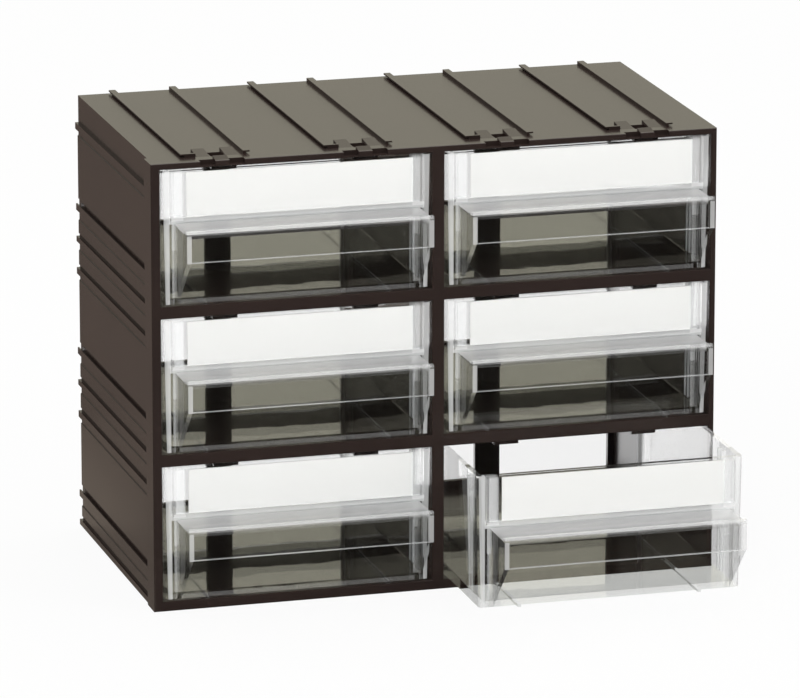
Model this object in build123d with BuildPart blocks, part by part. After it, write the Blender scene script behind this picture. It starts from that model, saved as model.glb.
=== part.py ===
"""Stacking drawer unit: a one-piece moulded case with six clear drawers and their label cards.

X runs across the front, Y from the front to the back, and Z up. The origin is the middle of the
case's underside. All lengths are in millimetres.
"""
import os

from build123d import *

# Case, outside
case_width = 208.0
case_height = 163.0
case_depth = 114.0
column_names = ("left", "right")
row_names = ("bottom", "middle", "top")

# Case, walls and front rim
outer_wall = 2.1
top_sheet = 2.2
base_thick = 3.6
rim_depth = 3.0
shelf_rim = 4.5
shelf_sheet = 2.2
divider_rim = 4.5
divider_web = 2.2
edge_round = 0.5

# Flange that covers the joint with the unit to the left
flange_proud = 1.2
flange_depth = 10.0

# Guide ribs at the divider's foot
guide_height = 6.0

# Back of each cell: a frame with a cross in it, which leaves four windows
rear_wall = 2.0
rear_sill = 3.2
rear_lip = 2.2
post_width = 9.6
bar_height = 8.0

# Nibs under the front rim that stop a drawer's back wall
nib_width = 9.0
nib_drop = 1.6
nib_length = 3.0
nib_place_share = 0.26

# Rails: an L section that hooks one unit to the next
rail_stem = 1.0
rail_height = 1.2
rail_lip = 0.55
rail_lip_reach = 1.4
rail_play = 0.3
rail_front_gap = 7.5
top_rail_half_pitch = 10.6
top_pair_count = 4
top_pair_shift = 0.8
side_rail_half_pitch = 15.85
side_rail_lift = 0.85
top_rail_return = 4.0
boundary_rib_width = 2.0

# Raised pads on the left wall between the rails
pad_proud = 0.35
pad_drop = 4.2
pad_gap = 1.0

# Catch at the front of each pair of top rails: a ramp between two notches, a hole and two wedges
catch_shift = 0.8
ramp_width = 5.0
ramp_start = 1.0
ramp_end = 4.6
ramp_rise = 0.8
hole_width = 5.2
hole_start = 6.6
hole_length = 6.0
wedge_width = 4.6
wedge_gap = 0.3
wedge_start = 7.0
wedge_end = 16.0
wedge_rise = 0.9
notch_width = 5.6
notch_length = 2.6
notch_drop = 1.6

# Drawer box
side_play = 0.35
top_play = 0.4
back_play = 0.5
nib_play = 0.4
drawer_wall = 1.8
drawer_floor = 1.6
draft_inset = 0.85
corner_round = 1.4
inner_round = 0.8
runner_height = 0.8
runner_width = 1.2
runner_place_share = 0.34
slot_rib_width = 1.0
slot_rib_proud = 0.8
slot_rib_gap = 2.2
slot_rib_setback = 12.0

# Drawer pull: a ledge with a lip and two end gussets
pull_inset = 4.5
pull_reach = 19.0
pull_top = 29.9
pull_wall = 1.6
lip_height = 10.0
bead_rise = 1.3
pull_round = 0.6

# Label pocket and its card
pocket_width = 92.0
pocket_bottom = 31.0
pocket_floor = 1.2
pocket_side = 1.2
pocket_gap = 0.8
window_thick = 1.0
window_top = 48.6
card_width = 82.4
card_height = 16.0
card_thick = 0.4
card_shift = 1.0

# The drawer that stands open
open_column = "right"
open_row = "bottom"
pulled_out = 40.0

# Places that follow from the sizes above
front_y = -case_depth / 2
back_y = case_depth / 2
case_left = -case_width / 2
case_right = case_width / 2
wall_left = case_left + flange_proud
column_gaps = len(column_names) - 1
row_gaps = len(row_names) - 1
inside_width = case_right - wall_left - 2 * outer_wall
cell_width = (inside_width - column_gaps * divider_rim) / len(column_names)
inside_height = case_height - top_sheet - base_thick
cell_height = (inside_height - row_gaps * shelf_rim) / len(row_names)
first_column = wall_left + outer_wall + cell_width / 2
column_x = [first_column + i * (cell_width + divider_rim) for i in range(len(column_names))]
floor_z = [base_thick + i * (cell_height + shelf_rim) for i in range(len(row_names))]
web_relief = (divider_rim - divider_web) / 2
sheet_relief = shelf_rim - shelf_sheet
back_plane = Plane.XZ.offset(-back_y)
front_plane = Plane.XZ.offset(-front_y)
top_plane = Plane.XY.offset(case_height)


def cell_room(column, row):
    """Left, right, floor and ceiling of a cell behind the front rim."""
    left = column_x[column] - cell_width / 2
    right = column_x[column] + cell_width / 2
    if column > 0:
        left -= web_relief
    if column < column_gaps:
        right += web_relief
    ceiling = floor_z[row] + cell_height
    if row < row_gaps:
        ceiling += sheet_relief
    return left, right, floor_z[row], ceiling


def corner_rectangle(left, right, bottom, top, mode=Mode.ADD):
    """Rectangle between four limits on the sketch in hand."""
    with Locations(((left + right) / 2, (bottom + top) / 2)):
        Rectangle(right - left, top - bottom, mode=mode)


def rail_section(foot, lip_side):
    """L section whose stem stands at foot and whose lip points to lip_side."""
    plain = foot - lip_side * rail_stem / 2
    inner = foot + lip_side * rail_stem / 2
    tip = inner + lip_side * rail_lip_reach
    under = rail_height - rail_lip
    Polygon(
        (plain, 0), (plain, rail_height), (tip, rail_height), (tip, under), (inner, under), (inner, 0),
        align=None,
    )


def wedge_section(start, end, rise):
    """Side view of a wedge on the top that rises from start to end."""
    Polygon((start, case_height), (end, case_height), (end, case_height + rise), align=None)


cells = [(column, row) for column in range(len(column_names)) for row in range(len(row_names))]
side_pitch = case_height / len(row_names)
side_middles = [i * side_pitch + side_pitch / 2 + side_rail_lift for i in range(len(row_names))]
boundaries = [base_thick / 2] + [i * side_pitch + side_rail_lift for i in range(1, len(row_names))]
pair_pitch = case_width / top_pair_count
pair_x = [case_left + i * pair_pitch + pair_pitch / 2 - top_pair_shift for i in range(top_pair_count)]
rail_length = case_depth - rail_front_gap
side_rail_length = case_depth - flange_depth
hook_offset = rail_stem + rail_lip_reach + rail_play

# Case: lattice of walls, shelves and divider
with BuildPart() as case:
    with BuildSketch(back_plane):
        corner_rectangle(wall_left, case_right, 0, case_height)
        for column, row in cells:
            corner_rectangle(*cell_room(column, row), mode=Mode.SUBTRACT)
    extrude(amount=case_depth)

    # Front rim, thicker than the sheets behind it
    with BuildSketch(front_plane):
        corner_rectangle(wall_left, case_right, 0, case_height)
        for column, row in cells:
            with Locations((column_x[column], floor_z[row] + cell_height / 2)):
                Rectangle(cell_width, cell_height, mode=Mode.SUBTRACT)
    extrude(amount=-rim_depth)

    # Flange round the front of the left wall
    with BuildSketch(front_plane):
        corner_rectangle(case_left, wall_left, 0, case_height)
    extrude(amount=-flange_depth)
    fillet(case.faces().sort_by(Axis.Y)[0].edges(), radius=edge_round)

    # Frame and cross at the back of each cell
    with BuildSketch(back_plane):
        for column, row in cells:
            corner_rectangle(*cell_room(column, row))
        for column, row in cells:
            middle = column_x[column]
            sill = floor_z[row] + rear_sill
            head = floor_z[row] + cell_height - rear_lip
            bar_bottom = (sill + head - bar_height) / 2
            bar_top = (sill + head + bar_height) / 2
            for side in (-1, 1):
                near = middle + side * post_width / 2
                far = middle + side * (cell_width / 2 - rear_lip)
                for low, high in ((sill, bar_bottom), (bar_top, head)):
                    corner_rectangle(min(near, far), max(near, far), low, high, mode=Mode.SUBTRACT)
    extrude(amount=rear_wall)

    # Guide ribs that keep the drawers off the thin divider
    with BuildSketch(back_plane):
        for column, row in cells:
            left, right, floor, _ = cell_room(column, row)
            if column > 0:
                corner_rectangle(left, left + web_relief, floor, floor + guide_height)
            if column < column_gaps:
                corner_rectangle(right - web_relief, right, floor, floor + guide_height)
    extrude(amount=case_depth - rim_depth)

    # Stop nibs behind the front rim
    nib_plane = Plane.XZ.offset(-front_y - drawer_wall - nib_play)
    with BuildSketch(nib_plane):
        for column, row in cells:
            _, _, floor, ceiling = cell_room(column, row)
            nib_bottom = floor + cell_height - nib_drop
            for side in (-1, 1):
                middle = column_x[column] + side * nib_place_share * cell_width
                corner_rectangle(middle - nib_width / 2, middle + nib_width / 2, nib_bottom, ceiling)
    extrude(amount=-nib_length)

    # Rails on the top, lips outwards, with a return at the front of each left rail
    with BuildSketch(Plane(origin=(0, back_y, case_height), x_dir=(1, 0, 0), z_dir=(0, -1, 0))):
        for middle in pair_x:
            for side in (-1, 1):
                rail_section(middle + side * top_rail_half_pitch, side)
    extrude(amount=rail_length)
    with BuildSketch(top_plane):
        for middle in pair_x:
            stem_left = middle - top_rail_half_pitch - rail_stem / 2
            return_front = front_y + rail_front_gap
            corner_rectangle(stem_left, stem_left + top_rail_return, return_front, return_front + rail_stem)
    extrude(amount=rail_height)

    # Slots in the underside that take the rails of the unit below
    slot_mouth = top_rail_half_pitch + rail_stem / 2 + rail_play
    slot_room = slot_mouth + rail_lip_reach
    slot_roof = rail_height + rail_play / 2
    slot_lip = rail_height - rail_lip - rail_play / 2
    with BuildSketch(back_plane):
        for middle in pair_x:
            corner_rectangle(middle - slot_room, middle + slot_room, slot_lip, slot_roof)
    extrude(amount=rail_length + rail_play, mode=Mode.SUBTRACT)
    with BuildSketch(back_plane):
        for middle in pair_x:
            corner_rectangle(middle - slot_mouth, middle + slot_mouth, 0, slot_roof)
    extrude(amount=case_depth - wedge_start + rail_play, mode=Mode.SUBTRACT)

    # Rails and boundary ribs on the left wall, lips towards each other
    with BuildSketch(Plane(origin=(wall_left, back_y, 0), x_dir=(0, 0, 1), z_dir=(0, -1, 0))):
        for middle in side_middles:
            for side in (-1, 1):
                rail_section(middle + side * side_rail_half_pitch, -side)
        for middle in boundaries:
            corner_rectangle(middle - boundary_rib_width / 2, middle + boundary_rib_width / 2, 0, rail_height)
    extrude(amount=side_rail_length)

    # Pads on the left wall, each with a sloped upper edge
    pad_limits = []
    for index, middle in enumerate(side_middles):
        upper_rail = middle + side_rail_half_pitch
        lower_rail = middle - side_rail_half_pitch
        pad_limits.append((lower_rail + hook_offset + pad_gap, upper_rail - pad_drop))
        pad_limits.append((boundaries[index] + boundary_rib_width / 2 + pad_gap, lower_rail - pad_drop))
        if index > 0:
            below = side_middles[index - 1] + side_rail_half_pitch + rail_stem / 2 + pad_gap
            pad_limits.append((below, boundaries[index] - pad_drop))
    with BuildSketch(Plane(origin=(wall_left, back_y, 0), x_dir=(0, 0, 1), z_dir=(0, -1, 0))):
        for low, high in pad_limits:
            Polygon((low, 0), (low, pad_proud), (high - pad_proud, pad_proud), (high, 0), align=None)
    extrude(amount=side_rail_length)

    # Hooks on the right wall that take the rails of the unit to the right
    with BuildSketch(Plane(origin=(case_right, back_y, 0), x_dir=(0, 0, -1), z_dir=(0, -1, 0))):
        for middle in side_middles:
            for side in (-1, 1):
                rail_section(-middle + side * (side_rail_half_pitch - hook_offset), side)
    extrude(amount=side_rail_length - rail_play)

    # Ramps between the notches, which hold the unit above once it is slid home
    for middle in pair_x:
        with BuildSketch(Plane.YZ.offset(middle + catch_shift - ramp_width / 2)):
            wedge_section(front_y + ramp_start, front_y + ramp_end, ramp_rise)
        extrude(amount=ramp_width)

    # Holes through the top sheet behind the ramps
    with BuildSketch(top_plane):
        for middle in pair_x:
            with Locations((middle + catch_shift, front_y + hole_start + hole_length / 2)):
                Rectangle(hole_width, hole_length)
    extrude(amount=-top_sheet, mode=Mode.SUBTRACT)

    # Guide wedges either side of each hole
    for middle in pair_x:
        for side in (-1, 1):
            centre = middle + catch_shift + side * (hole_width / 2 + wedge_gap + wedge_width / 2)
            with BuildSketch(Plane.YZ.offset(centre - wedge_width / 2)):
                wedge_section(front_y + wedge_start, front_y + wedge_end, wedge_rise)
            extrude(amount=wedge_width)

    # Notches in the front edge of the top, one each side of a ramp
    with BuildSketch(top_plane):
        for middle in pair_x:
            for side in (-1, 1):
                centre = middle + catch_shift + side * (ramp_width + notch_width) / 2
                corner_rectangle(centre - notch_width / 2, centre + notch_width / 2, front_y, front_y + notch_length)
    extrude(amount=-notch_drop, mode=Mode.SUBTRACT)

    # Pockets in the underside that the ramps of the unit below snap into
    with BuildSketch(Plane.XY):
        for middle in pair_x:
            centre = middle + catch_shift
            reach = ramp_width / 2 + rail_play
            pocket_front = front_y + ramp_start - rail_play
            pocket_back = front_y + ramp_end + rail_play
            corner_rectangle(centre - reach, centre + reach, pocket_front, pocket_back)
    extrude(amount=slot_roof, mode=Mode.SUBTRACT)

# Drawer, in its own frame: front face at Y zero, standing on Z zero, middle at X zero
drawer_width = cell_width - 2 * side_play
drawer_height = cell_height - top_play
drawer_length = case_depth - rear_wall - back_play
underside = runner_height
foot_width = drawer_width - 2 * draft_inset
pull_width = drawer_width - 2 * pull_inset


def drafted_section(inset, bottom, top):
    """Section across the box, narrower at its foot, set in by a wall."""
    half_top = drawer_width / 2 - inset
    half_foot = foot_width / 2 - inset
    Polygon((-half_foot, bottom), (half_foot, bottom), (half_top, top), (-half_top, top), align=None)


with BuildPart() as drawer:
    with BuildSketch(Plane.XZ):
        drafted_section(0, underside, drawer_height)
    extrude(amount=-drawer_length)
    corners = drawer.edges().filter_by(lambda edge: abs(edge.tangent_at(0).Z) > abs(edge.tangent_at(0).X))
    fillet(corners, radius=corner_round)

    # Hollow
    with BuildSketch(Plane.XZ.offset(-drawer_wall)):
        drafted_section(drawer_wall, underside + drawer_floor, drawer_height)
    extrude(amount=-(drawer_length - 2 * drawer_wall), mode=Mode.SUBTRACT)
    hollow_edges = drawer.edges().filter_by(
        lambda edge: abs(edge.center().X) < (drawer_width - drawer_wall) / 2
        and drawer_wall / 2 < edge.center().Y < drawer_length - drawer_wall / 2
        and underside + drawer_floor / 2 < edge.center().Z < drawer_height - drawer_floor / 2
    )
    fillet(hollow_edges, radius=inner_round)

    # Runners under the floor
    with BuildSketch(Plane.XZ):
        for side in (-1, 1):
            middle = side * runner_place_share * drawer_width
            corner_rectangle(middle - runner_width / 2, middle + runner_width / 2, 0, underside)
    extrude(amount=-drawer_length)

    # Ribs inside the side walls that hold a cross divider
    rib_bottom = underside + drawer_floor
    inner_half = drawer_width / 2 - drawer_wall
    with BuildSketch(Plane.XY.offset(rib_bottom)):
        for side in (-1, 1):
            for step in (0, 1):
                rib_y = drawer_wall + slot_rib_setback + step * (slot_rib_width + slot_rib_gap)
                rib_x = side * (inner_half - (draft_inset + slot_rib_proud) / 2)
                with Locations((rib_x, rib_y + slot_rib_width / 2)):
                    Rectangle(slot_rib_proud + draft_inset, slot_rib_width)
    extrude(amount=drawer_height - rib_bottom - nib_drop)

    # Pull: ledge and lip in one section, run across the front
    with BuildSketch(Plane.YZ.offset(-pull_width / 2)) as pull_section:
        with BuildLine():
            Polyline(
                (0, pull_top),
                (-(pull_reach - pull_wall), pull_top),
                (-(pull_reach - pull_wall), pull_top + bead_rise),
                (-pull_reach, pull_top + bead_rise),
                (-pull_reach, pull_top - lip_height),
                (-(pull_reach - pull_wall), pull_top - lip_height),
                (-(pull_reach - pull_wall), pull_top - pull_wall),
                (0, pull_top - pull_wall),
                close=True,
            )
        make_face()
        lip_corners = pull_section.vertices().filter_by_position(Axis.Y, -pull_reach, -pull_reach)
        fillet(lip_corners, radius=pull_round)
    extrude(amount=pull_width)

    # Gussets that close the ends of the pull
    for left in (-pull_width / 2, pull_width / 2 - pull_wall):
        with BuildSketch(Plane.YZ.offset(left)):
            with BuildLine():
                Polyline(
                    (0, pull_top),
                    (-(pull_reach - pull_round), pull_top),
                    (-(pull_reach - pull_round), pull_top - lip_height),
                    (0, underside),
                    close=True,
                )
            make_face()
        extrude(amount=pull_wall)

    # Label pocket: a window held off the front wall by its two sides and its floor
    pocket_proud = pocket_gap + window_thick
    with BuildSketch(Plane.XZ):
        corner_rectangle(-pocket_width / 2, pocket_width / 2, pocket_bottom, window_top)
    extrude(amount=pocket_proud)
    with BuildSketch(Plane.XZ):
        room = pocket_width / 2 - pocket_side
        corner_rectangle(-room, room, pocket_bottom + pocket_floor, window_top)
    extrude(amount=pocket_gap, mode=Mode.SUBTRACT)

# Label card, in the drawer's frame
with BuildPart() as card:
    with BuildSketch(Plane.XZ.offset((pocket_gap - card_thick) / 2)):
        card_bottom = pocket_bottom + pocket_floor
        card_left = card_shift - card_width / 2
        corner_rectangle(card_left, card_left + card_width, card_bottom, card_bottom + card_height)
    extrude(amount=card_thick)

# Write each piece where it stands
os.makedirs("parts", exist_ok=True)
case.part.label = "case"
export_step(case.part, "parts/case.step")
for column, column_name in enumerate(column_names):
    for row, row_name in enumerate(row_names):
        stands_open = column_name == open_column and row_name == open_row
        forward = pulled_out if stands_open else 0
        place = Location((column_x[column], front_y - forward, floor_z[row]))
        for piece, piece_name in ((drawer, "drawer"), (card, "label_card")):
            placed = piece.part.moved(place)
            placed.label = f"{piece_name}_{column_name}_{row_name}"
            export_step(placed, f"parts/{placed.label}.step")
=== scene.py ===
import math

import bpy
import numpy as np
from mathutils import Matrix, Vector

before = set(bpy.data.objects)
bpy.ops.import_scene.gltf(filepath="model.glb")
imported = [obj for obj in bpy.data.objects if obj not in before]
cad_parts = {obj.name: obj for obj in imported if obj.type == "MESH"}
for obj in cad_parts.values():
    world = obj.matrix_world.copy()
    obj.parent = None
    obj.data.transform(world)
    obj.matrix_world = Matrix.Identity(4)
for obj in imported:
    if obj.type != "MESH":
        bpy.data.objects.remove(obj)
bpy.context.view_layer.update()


# THE PHOTOGRAPH'S CAMERA
# A long lens, a little to the left of the unit and above it. Yaw, pitch, focal length and the unit's
# place in the picture were fitted to the corners of the case, whose height is the unit of length here.

CASE_HEIGHT = 0.163  # m
LENS_YAW, LENS_PITCH = math.radians(15.94), math.radians(14.82)
CASE_IN_LENS = np.array([-0.016, 15.595, 0.041]) * CASE_HEIGHT  # right, forward and up of the lens
FOCAL_PIXELS, PHOTO_WIDTH = 7004, 800
SENSOR = 36.0  # mm
NEAREST, FARTHEST = 0.05, 50  # m that the camera sees

turn = np.array([[math.cos(LENS_YAW), -math.sin(LENS_YAW), 0],
                 [math.sin(LENS_YAW), math.cos(LENS_YAW), 0],
                 [0, 0, 1]])
tilt = np.array([[1, 0, 0],
                 [0, math.cos(LENS_PITCH), -math.sin(LENS_PITCH)],
                 [0, math.sin(LENS_PITCH), math.cos(LENS_PITCH)]])
right, forward, up = tilt @ turn
spot = np.array([0, 0, CASE_HEIGHT / 2]) - (tilt @ turn).T @ CASE_IN_LENS

camera = bpy.data.objects.new("camera", bpy.data.cameras.new("camera"))
bpy.context.scene.collection.objects.link(camera)
bpy.context.scene.camera = camera
camera.data.sensor_width = SENSOR
camera.data.lens = FOCAL_PIXELS / PHOTO_WIDTH * SENSOR
camera.data.clip_start, camera.data.clip_end = NEAREST, FARTHEST
camera.matrix_world = Matrix.Translation(Vector(spot)) @ Matrix(
    np.array([right, up, -forward]).T.tolist()).to_4x4()


# THE CASE
# One injection moulding in dark grey-brown high-impact polystyrene. The mould is spark eroded, which
# leaves a fine even grain that takes the gloss down. The melt's flow leaves the colour a little uneven.

CASE_COLOUR, CASE_COLOUR_PALE = "#2b2220", "#342925"
CASE_IOR = 1.55
CASE_ROUGHNESS = (0.18, 0.26)  # from the pits of the grain to its crests
GRAIN = 0.35  # mm from crest to crest of the eroded surface, drawn three times as coarse as it is
GRAIN_PITS, GRAIN_CRESTS = 0.3, 0.7  # of the noise that draws it
GRAIN_DEPTH, GRAIN_STRENGTH = 0.05, 0.12  # mm, and the share of it that shows
FLOW = 45  # mm across a cloud of the colour
MM = 0.001


def linear(hex_code):
    """sRGB hex to linear: c / 12.92 up to 0.04045, and ((c + 0.055) / 1.055) to the power 2.4 above."""
    c = np.array([int(hex_code[i:i + 2], 16) for i in (1, 3, 5)]) / 255
    return (*np.where(c <= 0.04045, c / 12.92, ((c + 0.055) / 1.055) ** 2.4).tolist(), 1.0)


def add(tree, kind, sockets=None, **settings):
    """Adds one node: settings are its properties, sockets holds a value or a link for each input."""
    node = tree.nodes.new(kind)
    for name, value in settings.items():
        setattr(node, name, value)
    for name, value in (sockets or {}).items():
        if isinstance(value, bpy.types.NodeSocket):
            tree.links.new(value, node.inputs[name])
        else:
            node.inputs[name].default_value = value
    return node


def bare(name):
    """A new material and its node tree, which is still empty."""
    material = bpy.data.materials.new(name)
    material.use_nodes = True
    material.node_tree.nodes.clear()
    return material, material.node_tree


def dress(pieces, material):
    """Gives the pieces this material and no other."""
    for piece in pieces:
        piece.data.materials.clear()
        piece.data.materials.append(material)


case_plastic, tree = bare("polystyrene_moulded_spark_eroded")
place = add(tree, "ShaderNodeTexCoord").outputs["Object"]
cloud = add(tree, "ShaderNodeTexNoise", {"Vector": place, "Scale": 1 / (FLOW * MM), "Detail": 3.0})
grain = add(tree, "ShaderNodeTexNoise", {"Vector": place, "Scale": 1 / (GRAIN * MM), "Detail": 2.0})
tone = add(tree, "ShaderNodeMix", {"Factor": cloud.outputs["Fac"],
                                   "A": linear(CASE_COLOUR), "B": linear(CASE_COLOUR_PALE)},
           data_type="RGBA")
rough = add(tree, "ShaderNodeMapRange", {"Value": grain.outputs["Fac"],
                                         "From Min": GRAIN_PITS, "From Max": GRAIN_CRESTS,
                                         "To Min": CASE_ROUGHNESS[0], "To Max": CASE_ROUGHNESS[1]})
relief = add(tree, "ShaderNodeBump", {"Height": grain.outputs["Fac"], "Strength": GRAIN_STRENGTH,
                                      "Distance": GRAIN_DEPTH * MM})
skin = add(tree, "ShaderNodeBsdfPrincipled", {"Base Color": tone.outputs["Result"],
                                              "Roughness": rough.outputs["Result"],
                                              "Normal": relief.outputs["Normal"], "IOR": CASE_IOR})
add(tree, "ShaderNodeOutputMaterial", {"Surface": skin.outputs["BSDF"]})

dress([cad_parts["case"]], case_plastic)


# THE SIX DRAWERS
# Clear crystal polystyrene, moulded in a polished tool: glossy faces that are never quite flat. Light
# that runs inside the thin walls comes out at their edges and corners. That glow is a painted glow, a
# white matt share in place of clear plastic there, and the floors carry a painted grey shade.

# The second clear tone is a painted shade: a grey tint on the drawers' floors that stands in for the
# shadow seen through them.
CLEAR, CLEAR_FLOOR_PAINTED_SHADE, CLEAR_SHADOW = "#fefefe", "#f0f1ee", "#f9fbfb"
UNBENT, CLEAR_IOR = 1.01, 1.59  # see the shader below
POLISH = 0.02  # roughness of the gloss
WAVE, WAVE_DEPTH, WAVE_STRENGTH = 14, 0.2, 0.2  # mm across and deep, and the share that shows
DRAWER_PITCH = (103.55, 53.9)  # mm across and up, from drawer to drawer
DRAWER_MIDDLE, DRAWER_FOOT = -51.175, 3.6  # mm, of the left column and of the bottom row
FLOOR_TOP = 3.0  # mm over the foot, with the runners under it
FRONT, PULLED_OUT = -57, 40  # mm, Y of the closed front walls, and how far the open one stands out
LEDGE, LEDGE_END = 19, 0.25  # mm deep, and the share of its painted glow that is left at its outer edge
MARGIN = 1  # mm, so that no front wall lies on the step where the measure of depth starts again
TURNED = 0.8  # share of its normal along an axis from which a face counts as looking that way
AT_FRONT, ALL_DEPTH = -50, 60  # mm, Y up to which a place of painted glow goes

# A row has the axis that the faces look along, their heights over the foot, their distances from the
# drawer's middle and their Y, all in mm, then the share of painted glow, and whether it fades along the
# ledge.
# Painted glow: each row paints a white matt share that stands in for light guided out at edges and
# corners.
PAINTED_GLOW_PLACES = [
    ("Z", (29.0, 32.6), (0.0, 50.0), AT_FRONT, 0.72, True),  # top of the ledge, floor of the pocket
    ("Y", (29.7, 32.4), (0.0, 46.3), AT_FRONT, 0.50, True),  # foot of the pocket, bead of the ledge
    ("Z", (19.3, 20.6), (0.0, 50.0), AT_FRONT, 0.38, False),  # lower edge of the lip
    ("Y", (31.2, 50.0), (41.6, 46.3), AT_FRONT, 0.15, False),  # ends of the pocket
    ("Y", (19.9, 29.7), (43.0, 45.0), AT_FRONT, 0.38, False),  # ends of the lip
    ("Y", (0.0, 19.9), (43.0, 45.0), AT_FRONT, 0.15, False),  # roots of the gussets
    ("Y", (0.8, 2.4), (0.0, 47.0), AT_FRONT, 0.055, False),  # foot of the front wall
    ("Y", (0.0, 50.0), (46.2, 50.0), ALL_DEPTH, 0.40, False),  # the four corners
    ("X", (31.2, 50.0), (43.0, 46.4), AT_FRONT, 0.15, False),  # side walls of the pocket
    ("X", (0.0, 0.9), (31.0, 36.0), ALL_DEPTH, 0.12, False),  # sides of the runners
    ("Z", (0.0, 0.3), (31.0, 36.0), ALL_DEPTH, 0.12, False),  # soles of the runners
]

clear_plastic, tree = bare("crystal_polystyrene_moulded_polished")
place = add(tree, "ShaderNodeTexCoord").outputs["Object"]
way = add(tree, "ShaderNodeSeparateXYZ", {0: place})
across = add(tree, "ShaderNodeMath", {0: way.outputs["X"], 1: 1 / MM, 2: -DRAWER_MIDDLE},
             operation="MULTIPLY_ADD")
across = add(tree, "ShaderNodeMath", {0: across.outputs["Value"], 1: DRAWER_PITCH[0] / 2},
             operation="PINGPONG")
height = add(tree, "ShaderNodeMath", {0: way.outputs["Z"], 1: 1 / MM, 2: -DRAWER_FOOT},
             operation="MULTIPLY_ADD")
height = add(tree, "ShaderNodeMath", {0: height.outputs["Value"], 1: DRAWER_PITCH[1]},
             operation="FLOORED_MODULO")
normal = add(tree, "ShaderNodeNewGeometry").outputs["True Normal"]
looks = add(tree, "ShaderNodeVectorMath", {0: normal}, operation="ABSOLUTE")
looks = add(tree, "ShaderNodeSeparateXYZ", {0: looks.outputs["Vector"]})
reach = add(tree, "ShaderNodeMath", {0: way.outputs["Y"], 1: -1 / MM, 2: FRONT + MARGIN},
            operation="MULTIPLY_ADD")
reach = add(tree, "ShaderNodeMath", {0: reach.outputs["Value"], 1: PULLED_OUT},
            operation="FLOORED_MODULO")
painted_glow_fade = add(tree, "ShaderNodeMapRange", {"Value": reach.outputs["Value"],
                                        "From Min": MARGIN, "From Max": LEDGE + MARGIN,
                                        "To Min": 1.0, "To Max": LEDGE_END})
# Painted glow: the shares of the rows are summed into one mask of painted light.
painted_glow = 0.0
for axis, heights, distances, back, share, fades in PAINTED_GLOW_PLACES:
    tests = [add(tree, "ShaderNodeMath", {0: measure.outputs["Value"], 1: (low + high) / 2,
                                          2: (high - low) / 2}, operation="COMPARE")
             for measure, (low, high) in ((height, heights), (across, distances))]
    tests.append(add(tree, "ShaderNodeMath", {0: looks.outputs[axis], 1: TURNED},
                     operation="GREATER_THAN"))
    tests.append(add(tree, "ShaderNodeMath", {0: way.outputs["Y"], 1: back * MM},
                     operation="LESS_THAN"))
    if fades:
        tests.append(painted_glow_fade)
    there = tests[0]
    for test in tests[1:]:
        there = add(tree, "ShaderNodeMath", {0: there.outputs[0], 1: test.outputs[0]},
                    operation="MULTIPLY")
    painted_glow = add(tree, "ShaderNodeMath", {0: there.outputs["Value"], 1: share, 2: painted_glow},
                operation="MULTIPLY_ADD").outputs["Value"]
# Where the painted glow lies, that share of the clear plastic is made white and matt.
clear = add(tree, "ShaderNodeMath", {0: 1.0, 1: painted_glow}, operation="SUBTRACT", use_clamp=True)
# Painted shade: faces that look up or down, below FLOOR_TOP, take the grey floor tint in place of the
# shadow under the drawer.
low = add(tree, "ShaderNodeMath", {0: height.outputs["Value"], 1: FLOOR_TOP}, operation="LESS_THAN")
level = add(tree, "ShaderNodeMath", {0: looks.outputs["Z"], 1: TURNED}, operation="GREATER_THAN")
painted_shade_floor = add(tree, "ShaderNodeMath", {0: low.outputs["Value"], 1: level.outputs["Value"]},
            operation="MULTIPLY")
tone = add(tree, "ShaderNodeMix", {"Factor": painted_shade_floor.outputs["Value"], "A": linear(CLEAR),
                                   "B": linear(CLEAR_FLOOR_PAINTED_SHADE)}, data_type="RGBA")
wave = add(tree, "ShaderNodeTexNoise", {"Vector": place, "Scale": 1 / (WAVE * MM), "Detail": 1.0})
relief = add(tree, "ShaderNodeBump", {"Height": wave.outputs["Fac"], "Strength": WAVE_STRENGTH,
                                      "Distance": WAVE_DEPTH * MM})
# Light crosses the thin, parallel walls unbent, hence 1.01; the gloss of polystyrene is a coat on it.
glass = add(tree, "ShaderNodeBsdfPrincipled", {"Base Color": tone.outputs["Result"], "Roughness": 0.0,
                                               "IOR": UNBENT,
                                               "Transmission Weight": clear.outputs["Value"],
                                               "Coat Weight": 1.0, "Coat Roughness": POLISH,
                                               "Coat IOR": CLEAR_IOR,
                                               "Coat Normal": relief.outputs["Normal"]})
open_way = add(tree, "ShaderNodeBsdfTransparent", {"Color": linear(CLEAR_SHADOW)})
ray = add(tree, "ShaderNodeLightPath")
both = add(tree, "ShaderNodeMixShader", {0: ray.outputs["Is Shadow Ray"], 1: glass.outputs["BSDF"],
                                         2: open_way.outputs["BSDF"]})
add(tree, "ShaderNodeOutputMaterial", {"Surface": both.outputs["Shader"]})

dress([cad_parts[name] for name in sorted(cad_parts) if name.startswith("drawer_")],
      clear_plastic)


# THE SIX LABEL CARDS
# White card, about 300 g, cut to the pocket and standing loose in it. Its fibres give a faint
# cloudiness and no gloss.

CARD_COLOUR, CARD_COLOUR_PALE = "#f3f2f0", "#faf9f7"
CARD_IOR, CARD_ROUGHNESS = 1.5, 0.85
FIBRE, FIBRE_DEPTH, FIBRE_STRENGTH = 0.6, 0.03, 0.1  # mm across and deep, and the share that shows

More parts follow.
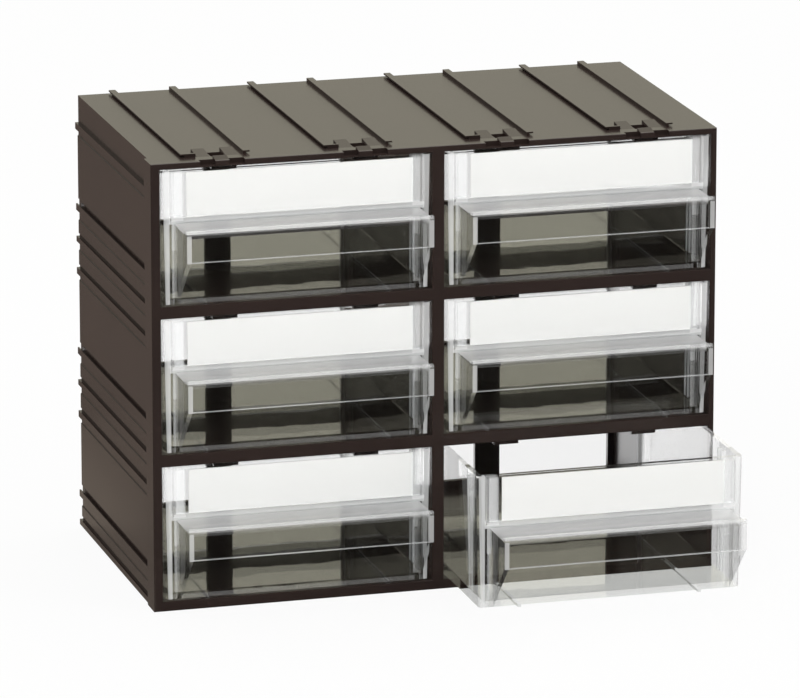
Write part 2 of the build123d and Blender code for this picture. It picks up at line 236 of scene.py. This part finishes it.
card_stock, tree = bare("white_card_uncoated")
place = add(tree, "ShaderNodeTexCoord").outputs["Object"]
fibre = add(tree, "ShaderNodeTexNoise", {"Vector": place, "Scale": 1 / (FIBRE * MM), "Detail": 4.0})
tone = add(tree, "ShaderNodeMix", {"Factor": fibre.outputs["Fac"], "A": linear(CARD_COLOUR),
                                   "B": linear(CARD_COLOUR_PALE)}, data_type="RGBA")
relief = add(tree, "ShaderNodeBump", {"Height": fibre.outputs["Fac"], "Strength": FIBRE_STRENGTH,
                                      "Distance": FIBRE_DEPTH * MM})
paper = add(tree, "ShaderNodeBsdfPrincipled", {"Base Color": tone.outputs["Result"],
                                               "Roughness": CARD_ROUGHNESS, "IOR": CARD_IOR,
                                               "Normal": relief.outputs["Normal"]})
add(tree, "ShaderNodeOutputMaterial", {"Surface": paper.outputs["BSDF"]})

dress([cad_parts[name] for name in sorted(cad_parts) if name.startswith("label_card_")],
      card_stock)


# THE TABLE
# White and wide, so that the camera sees one white ground with the unit's shadow on it. The gloss of
# the plastics shows a grey cloth there instead, pale beside the unit's left side and lit white behind.

TABLE = 12.0  # m from its middle to an edge
TABLE_COLOUR = "#f2f2f0"
SEEN_WHITE = 0.92  # share of plain white in what the camera sees, the rest takes the shadow
CLOTH_NEAR, CLOTH_FAR = "#2c2826", "#8b7f78"
CLOTH_DEPTH = (-0.06, 0.12)  # m, Y over which the one runs into the other
STRIP_COLOUR = "#c8bcb0"
STRIP_RISE, STRIP_FALL = (-0.15, -0.106), (-0.1, -0.104)  # m, X over which the strip comes and goes
STRIP_MIDDLE, STRIP_HALF = 0.05, 0.15  # m, Y of its middle, and half its length
LIT_WIDTH, LIT_NEAR, LIT_FAR = 0.18, 0.06, 0.6  # m, the lit place: across, and Y of its two edges
LIT_POWER = 2.0


def rays(tree):
    """Two sockets: 1 for a ray that met nothing but clear plastic, and 1 for one that comes off a gloss.

    Depths are whole numbers, so 0.5 parts none from one."""
    ray = add(tree, "ShaderNodeLightPath")
    turns = add(tree, "ShaderNodeMath", {0: ray.outputs["Glossy Depth"],
                                         1: ray.outputs["Diffuse Depth"]}, operation="ADD")
    seen = add(tree, "ShaderNodeMath", {0: turns.outputs["Value"], 1: 0.5}, operation="LESS_THAN")
    gloss = add(tree, "ShaderNodeMath", {0: ray.outputs["Glossy Depth"], 1: 0.5},
                operation="GREATER_THAN")
    return seen.outputs["Value"], gloss.outputs["Value"]


mesh = bpy.data.meshes.new("table")
mesh.from_pydata([(x * TABLE, y * TABLE, 0) for x, y in ((-1, -1), (1, -1), (1, 1), (-1, 1))], [],
                 [(0, 1, 2, 3)])
table = bpy.data.objects.new("table", mesh)
bpy.context.scene.collection.objects.link(table)

white_table, tree = bare("white_laminate_table")
seen, gloss = rays(tree)
way = add(tree, "ShaderNodeSeparateXYZ", {0: add(tree, "ShaderNodeTexCoord").outputs["Object"]})
depth = add(tree, "ShaderNodeMapRange", {"Value": way.outputs["Y"],
                                         "From Min": CLOTH_DEPTH[0], "From Max": CLOTH_DEPTH[1]})
cloth = add(tree, "ShaderNodeMix", {"Factor": depth.outputs["Result"], "A": linear(CLOTH_NEAR),
                                    "B": linear(CLOTH_FAR)}, data_type="RGBA")
rise, fall = [add(tree, "ShaderNodeMapRange", {"Value": way.outputs["X"],
                                               "From Min": start, "From Max": end})
              for start, end in (STRIP_RISE, STRIP_FALL)]
along = add(tree, "ShaderNodeMath", {0: way.outputs["Y"], 1: STRIP_MIDDLE, 2: STRIP_HALF},
            operation="COMPARE")
strip = add(tree, "ShaderNodeMath", {0: rise.outputs["Result"], 1: fall.outputs["Result"]},
            operation="MULTIPLY")
strip = add(tree, "ShaderNodeMath", {0: strip.outputs["Value"], 1: along.outputs["Value"]},
            operation="MULTIPLY")
cloth = add(tree, "ShaderNodeMix", {"Factor": strip.outputs["Value"], "A": cloth.outputs["Result"],
                                    "B": linear(STRIP_COLOUR)}, data_type="RGBA")
shade = add(tree, "ShaderNodeMix", {"Factor": gloss, "A": linear(TABLE_COLOUR),
                                    "B": cloth.outputs["Result"]}, data_type="RGBA")
beside = add(tree, "ShaderNodeMath", {0: way.outputs["X"], 1: 0.0, 2: LIT_WIDTH / 2},
             operation="COMPARE")
behind = add(tree, "ShaderNodeMath", {0: way.outputs["Y"], 1: (LIT_NEAR + LIT_FAR) / 2,
                                      2: (LIT_FAR - LIT_NEAR) / 2}, operation="COMPARE")
lit = add(tree, "ShaderNodeMath", {0: beside.outputs["Value"], 1: behind.outputs["Value"]},
          operation="MULTIPLY")
lit = add(tree, "ShaderNodeMath", {0: lit.outputs["Value"], 1: gloss}, operation="MULTIPLY")
share = add(tree, "ShaderNodeMath", {0: seen, 1: SEEN_WHITE, 2: lit.outputs["Value"]},
            operation="MULTIPLY_ADD")
power = add(tree, "ShaderNodeMath", {0: lit.outputs["Value"], 1: LIT_POWER - 1, 2: 1.0},
            operation="MULTIPLY_ADD")
matt = add(tree, "ShaderNodeBsdfDiffuse", {"Color": shade.outputs["Result"]})
glow = add(tree, "ShaderNodeEmission", {"Color": linear("#ffffff"), "Strength": power.outputs["Value"]})
both = add(tree, "ShaderNodeMixShader", {0: share.outputs["Value"], 1: matt.outputs["BSDF"],
                                         2: glow.outputs["Emission"]})
add(tree, "ShaderNodeOutputMaterial", {"Surface": both.outputs["Shader"]})
dress([table], white_table)


# THE LAMPS AND THE ROOM
# Two soft boxes in front and one above. The room is even and white to the camera. The gloss of the
# plastics shows it dim and a little warm, lighter behind the unit and towards the right.

LAMPS = {  # name: (place in m, side of the soft box in m, watts)
    "soft_box_left": ((-1.5, -1.9, 1.7), 1.2, 23.5),
    "soft_box_right": ((1.9, -1.6, 1.3), 1.2, 13),
    "soft_box_above": ((0.1, 0.5, 2.2), 1.6, 18),
}
AIM = (0, 0, 0.08)  # m, the middle of the unit
ROOM_LIGHT = 0.53  # strength of the room's light on matt faces
GLOSS_TINT = "#fffce6"
TO_THE_RIGHT, RIGHT_LEVELS = (-0.35, 0.15), (0.1, 0.63)  # X of the direction, strengths behind the unit
TO_THE_BACK, FRONT_LEVEL = (-0.6, 0.7), 0.03  # Y of the direction, strength in front

for name, (spot, side, watts) in LAMPS.items():
    light = bpy.data.lights.new(name, "AREA")
    light.shape, light.size, light.energy = "SQUARE", side, watts
    lamp = bpy.data.objects.new(name, light)
    lamp.location = spot
    lamp.rotation_euler = (Vector(AIM) - Vector(spot)).to_track_quat("-Z", "Y").to_euler()
    lamp.visible_camera = False
    bpy.context.scene.collection.objects.link(lamp)

room = bpy.data.worlds.new("white_room")
bpy.context.scene.world = room
room.use_nodes = True
tree = room.node_tree
tree.nodes.clear()
seen, gloss = rays(tree)
way = add(tree, "ShaderNodeSeparateXYZ", {0: add(tree, "ShaderNodeTexCoord").outputs["Generated"]})
across = add(tree, "ShaderNodeMapRange", {"Value": way.outputs["X"],
                                          "From Min": TO_THE_RIGHT[0], "From Max": TO_THE_RIGHT[1],
                                          "To Min": RIGHT_LEVELS[0], "To Max": RIGHT_LEVELS[1]})
gloom = add(tree, "ShaderNodeMapRange", {"Value": way.outputs["Y"],
                                         "From Min": TO_THE_BACK[0], "From Max": TO_THE_BACK[1],
                                         "To Min": FRONT_LEVEL, "To Max": across.outputs["Result"]})
level = add(tree, "ShaderNodeMix", {"Factor": gloss, "A": ROOM_LIGHT,
                                    "B": gloom.outputs["Result"]}, data_type="FLOAT")
level = add(tree, "ShaderNodeMix", {"Factor": seen, "A": level.outputs["Result"], "B": 1.0},
            data_type="FLOAT")
tint = add(tree, "ShaderNodeMix", {"Factor": gloss, "A": linear("#ffffff"),
                                   "B": linear(GLOSS_TINT)}, data_type="RGBA")
sky = add(tree, "ShaderNodeBackground", {"Color": tint.outputs["Result"],
                                         "Strength": level.outputs["Result"]})
add(tree, "ShaderNodeOutputWorld", {"Surface": sky.outputs["Background"]})


# THE PICTURE
# The plain view, which shows colours as they are written. A ray that goes through the clear walls of two
# drawers meets more than twenty faces, so it gets bounces enough to come out; a gloss needs fewer.

BOUNCES, GLOSS_BOUNCES = 24, 12

bpy.context.scene.view_settings.view_transform = "Standard"
bpy.context.scene.cycles.max_bounces = BOUNCES
bpy.context.scene.cycles.transmission_bounces = BOUNCES
bpy.context.scene.cycles.glossy_bounces = GLOSS_BOUNCES
